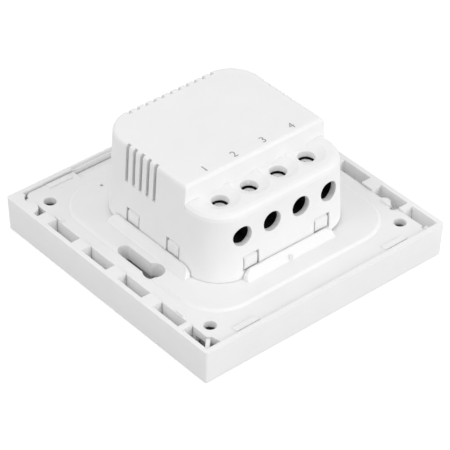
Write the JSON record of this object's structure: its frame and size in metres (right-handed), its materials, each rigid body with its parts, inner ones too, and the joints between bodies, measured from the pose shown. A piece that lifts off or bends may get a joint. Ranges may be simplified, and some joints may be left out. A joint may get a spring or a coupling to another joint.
{
  "type": "smart light switch",
  "caption": "Smart light switch for a round wall box: square frame with two rockers, mounting plate, vented rear housing with screw terminals and wire holes.",
  "frame": {"origin": "centre of the frame's front face, on which the switch lies as pictured", "axes": "+Z away from the front face, towards the wall box; -Y towards the wire holes; +X to the left of a person who looks at the front"},
  "size_m": [0.08, 0.08, 0.0352],
  "materials": {
    "frame_plastic": "fine satin",
    "plate_plastic": "fine matt",
    "housing_plastic": "fine matt",
    "rocker_plastic": "fine satin",
    "lens_plastic": "milky, clear",
    "clear_plastic": "clear",
    "led_body": "clear resin",
    "switch_body": "matt",
    "stem_plastic": "matt",
    "terminal_plastic": "matt",
    "bar_brass": "tinned edges",
    "screw_steel": "zinc plated",
    "cage_steel": "zinc plated",
    "board_green": "solder mask",
    "relay_plastic": "matt",
    "transformer_tape": "tape over dark core",
    "capacitor_sleeve": "sleeve with aluminium top",
    "film_plastic": "moulded",
    "varistor_coat": "dipped",
    "resistor_coat": "lacquered",
    "rectifier_plastic": "matt",
    "header_plastic": "matt",
    "sheet_film": "film",
    "radio_board": "solder mask",
    "shield_metal": "tinned sheet"
  },
  "bodies": {
    "base": {"front_frame": "frame_plastic", "mounting_plate": "plate_plastic", "rear_housing": "housing_plastic", "light_guides": "clear_plastic", "indicator_leds": "led_body", "tact_switch_left": "switch_body", "tact_switch_right": "switch_body", "terminal_block": "terminal_plastic", "terminal_bars": "bar_brass", "power_board": "board_green", "control_board": "board_green", "relay_1": "relay_plastic", "relay_2": "relay_plastic", "transformer": "transformer_tape", "smoothing_capacitors": "capacitor_sleeve", "suppression_capacitor": "film_plastic", "varistor": "varistor_coat", "fusible_resistor": "resistor_coat", "rectifier": "rectifier_plastic", "board_header": "header_plastic", "board_screws": "screw_steel", "insulating_sheet": "sheet_film", "radio_module": "radio_board", "shield_can": "shield_metal"},
    "rocker_left": {"rocker_left": "rocker_plastic", "indicator_left": "lens_plastic"},
    "tact_stem_left": {"tact_stem_left": "stem_plastic"},
    "rocker_right": {"rocker_right": "rocker_plastic", "indicator_right": "lens_plastic"},
    "tact_stem_right": {"tact_stem_right": "stem_plastic"},
    "terminal_screw_1": {"terminal_screw_1": "screw_steel"},
    "terminal_cage_1": {"terminal_cage_1": "cage_steel"},
    "terminal_screw_2": {"terminal_screw_2": "screw_steel"},
    "terminal_cage_2": {"terminal_cage_2": "cage_steel"},
    "terminal_screw_3": {"terminal_screw_3": "screw_steel"},
    "terminal_cage_3": {"terminal_cage_3": "cage_steel"},
    "terminal_screw_4": {"terminal_screw_4": "screw_steel"},
    "terminal_cage_4": {"terminal_cage_4": "cage_steel"}
  },
  "joints": [
    {"name": "rocker_left_press", "type": "hinge", "parent": "base", "child": "rocker_left", "pos_m": [0.01648, 0.0295, 0.0044], "axis": [-1, 0, 0], "range_deg": [0, 0.8], "stiffness_Nm_per_rad": 0.5, "springref_deg": -11.46},
    {"name": "tact_stem_left_push", "type": "slide", "parent": "base", "child": "tact_stem_left", "axis": [0, 0, 1], "range_m": [0, 0.00052]},
    {"name": "rocker_right_press", "type": "hinge", "parent": "base", "child": "rocker_right", "pos_m": [-0.01648, 0.0295, 0.0044], "axis": [-1, 0, 0], "range_deg": [0, 0.8], "stiffness_Nm_per_rad": 0.5, "springref_deg": -11.46},
    {"name": "tact_stem_right_push", "type": "slide", "parent": "base", "child": "tact_stem_right", "axis": [0, 0, 1], "range_m": [0, 0.00052]},
    {"name": "terminal_screw_1_turn", "type": "hinge", "parent": "base", "child": "terminal_screw_1", "pos_m": [-0.0143, -0.01455, 0.026], "axis": [0, 0, -1], "range_deg": [0, 795]},
    {"name": "terminal_cage_1_rise", "type": "slide", "parent": "base", "child": "terminal_cage_1", "axis": [0, 0, 1], "range_m": [0, 0.0011]},
    {"name": "terminal_screw_2_turn", "type": "hinge", "parent": "base", "child": "terminal_screw_2", "pos_m": [-0.00477, -0.01455, 0.026], "axis": [0, 0, -1], "range_deg": [0, 795]},
    {"name": "terminal_cage_2_rise", "type": "slide", "parent": "base", "child": "terminal_cage_2", "axis": [0, 0, 1], "range_m": [0, 0.0011]},
    {"name": "terminal_screw_3_turn", "type": "hinge", "parent": "base", "child": "terminal_screw_3", "pos_m": [0.00477, -0.01455, 0.026], "axis": [0, 0, -1], "range_deg": [0, 795]},
    {"name": "terminal_cage_3_rise", "type": "slide", "parent": "base", "child": "terminal_cage_3", "axis": [0, 0, 1], "range_m": [0, 0.0011]},
    {"name": "terminal_screw_4_turn", "type": "hinge", "parent": "base", "child": "terminal_screw_4", "pos_m": [0.0143, -0.01455, 0.026], "axis": [0, 0, -1], "range_deg": [0, 795]},
    {"name": "terminal_cage_4_rise", "type": "slide", "parent": "base", "child": "terminal_cage_4", "axis": [0, 0, 1], "range_m": [0, 0.0011]}
  ],
  "couplings": [
    {"joint": "tact_stem_left_push", "follows": "rocker_left_press", "m_per_rad": 0.0365},
    {"joint": "tact_stem_right_push", "follows": "rocker_right_press", "m_per_rad": 0.0365},
    {"joint": "terminal_screw_1_turn", "follows": "terminal_cage_1_rise", "rad_per_m": 12566},
    {"joint": "terminal_screw_2_turn", "follows": "terminal_cage_2_rise", "rad_per_m": 12566},
    {"joint": "terminal_screw_3_turn", "follows": "terminal_cage_3_rise", "rad_per_m": 12566},
    {"joint": "terminal_screw_4_turn", "follows": "terminal_cage_4_rise", "rad_per_m": 12566}
  ]
}
